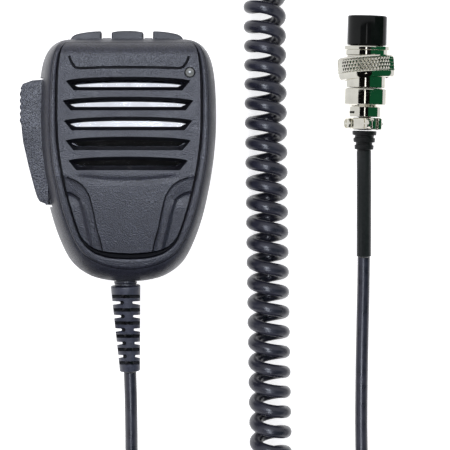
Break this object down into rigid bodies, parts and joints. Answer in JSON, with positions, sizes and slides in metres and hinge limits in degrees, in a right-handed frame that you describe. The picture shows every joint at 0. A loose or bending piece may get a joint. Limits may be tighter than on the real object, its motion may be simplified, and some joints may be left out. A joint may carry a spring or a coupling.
{
  "type": "hand microphone",
  "caption": "Fist microphone with slotted grille, side press-to-talk bar, top keys, hanger stud, curly cord and screw-lock round plug.",
  "frame": {"origin": "centre of the hanger stud's flat face, on the back of the microphone, which lies on the table", "axes": "+Z comes out of the grille, +Y points from the cable end to the top keys, +X to the right of the front face"},
  "size_m": [0.1692, 0.2505, 0.0367],
  "materials": {
    "case": "fine spark-eroded texture",
    "grille_window": "gloss",
    "lens": "clear gloss",
    "board": "solder resist",
    "capsule": "satin",
    "key_rubber": "matte",
    "steel": "zinc plated",
    "switch_plastic": "matte",
    "cord_jacket": "smooth semi-gloss",
    "boot_rubber": "satin",
    "shrink_sleeve": "satin",
    "nickel": "bright nickel plate",
    "insulator": "semi-gloss phenolic",
    "contact": "plated",
    "wire_red": "insulation",
    "wire_white": "insulation",
    "wire_yellow": "insulation",
    "wire_black": "insulation"
  },
  "bodies": {
    "case": {"front_cover": "case", "rear_cover": "case", "grille_window": "grille_window", "led_lens": "lens", "status_led": "lens", "circuit_board": "board", "keypad_board": "board", "mic_capsule": "capsule", "capsule_boot": "key_rubber", "ptt_pivot_pin": "steel", "ptt_return_spring": "steel", "ptt_switch_body": "switch_plastic", "key_switch_left": "switch_plastic", "key_switch_centre": "switch_plastic", "key_switch_right": "switch_plastic", "weight_plate": "steel", "case_screw_top_left": "steel", "case_screw_top_right": "steel", "case_screw_low_left": "steel", "case_screw_low_right": "steel", "hanger_stud": "nickel", "stud_nut": "steel", "cable_clamp": "steel", "clamp_screw_left": "steel", "clamp_screw_right": "steel", "gland_collar": "cord_jacket", "strain_relief_boot": "boot_rubber", "cord_inner_jacket": "cord_jacket", "wire_red": "wire_red", "wire_white": "wire_white", "wire_yellow": "wire_yellow", "wire_black": "wire_black", "cord_mic_lead": "cord_jacket", "cord_curl_near": "cord_jacket", "cord_curl_bend": "cord_jacket", "cord_curl_far": "cord_jacket", "cord_plug_lead": "cord_jacket", "heat_shrink": "shrink_sleeve", "plug_boot": "boot_rubber", "plug_inner_jacket": "cord_jacket", "plug_clamp_upper": "nickel", "plug_clamp_lower": "nickel", "plug_clamp_screw_left": "nickel", "plug_clamp_screw_right": "nickel", "plug_rear_shell": "nickel", "plug_set_screw": "steel", "plug_front_shell": "nickel", "plug_insulator": "insulator", "plug_contact_1": "contact", "plug_contact_2": "contact", "plug_contact_3": "contact", "plug_contact_4": "contact"},
    "press_to_talk": {"ptt_bar": "case"},
    "switch_plunger": {"ptt_switch_plunger": "switch_plastic"},
    "left_key": {"key_left": "key_rubber"},
    "centre_key": {"key_centre": "key_rubber"},
    "right_key": {"key_right": "key_rubber"},
    "nut": {"coupling_nut": "nickel"}
  },
  "joints": [
    {"name": "ptt_press", "type": "hinge", "parent": "case", "child": "press_to_talk", "pos_m": [-0.0246, -0.0172, 0.021], "axis": [0, 0, -1], "range_deg": [0, 3.5], "stiffness_Nm_per_rad": 1.2, "springref_deg": -1.72},
    {"name": "ptt_plunger_slide", "type": "slide", "parent": "case", "child": "switch_plunger", "axis": [1, 0, 0], "range_m": [0, 0.0018]},
    {"name": "left_key_press", "type": "slide", "parent": "case", "child": "left_key", "axis": [0, -1, 0], "range_m": [0, 0.0008], "stiffness_N_per_m": 900, "springref_m": -0.0006},
    {"name": "centre_key_press", "type": "slide", "parent": "case", "child": "centre_key", "axis": [0, -1, 0], "range_m": [0, 0.0008], "stiffness_N_per_m": 900, "springref_m": -0.0006},
    {"name": "right_key_press", "type": "slide", "parent": "case", "child": "right_key", "axis": [0, -1, 0], "range_m": [0, 0.0008], "stiffness_N_per_m": 900, "springref_m": -0.0006},
    {"name": "coupling_nut_spin", "type": "hinge", "parent": "case", "child": "nut", "pos_m": [0.0837, 0.0289, 0.0102], "axis": [-0.0671, 0.9967, -0.0454], "continuous": true}
  ],
  "couplings": [
    {"joint": "ptt_plunger_slide", "follows": "ptt_press", "m_per_rad": 0.0292}
  ]
}
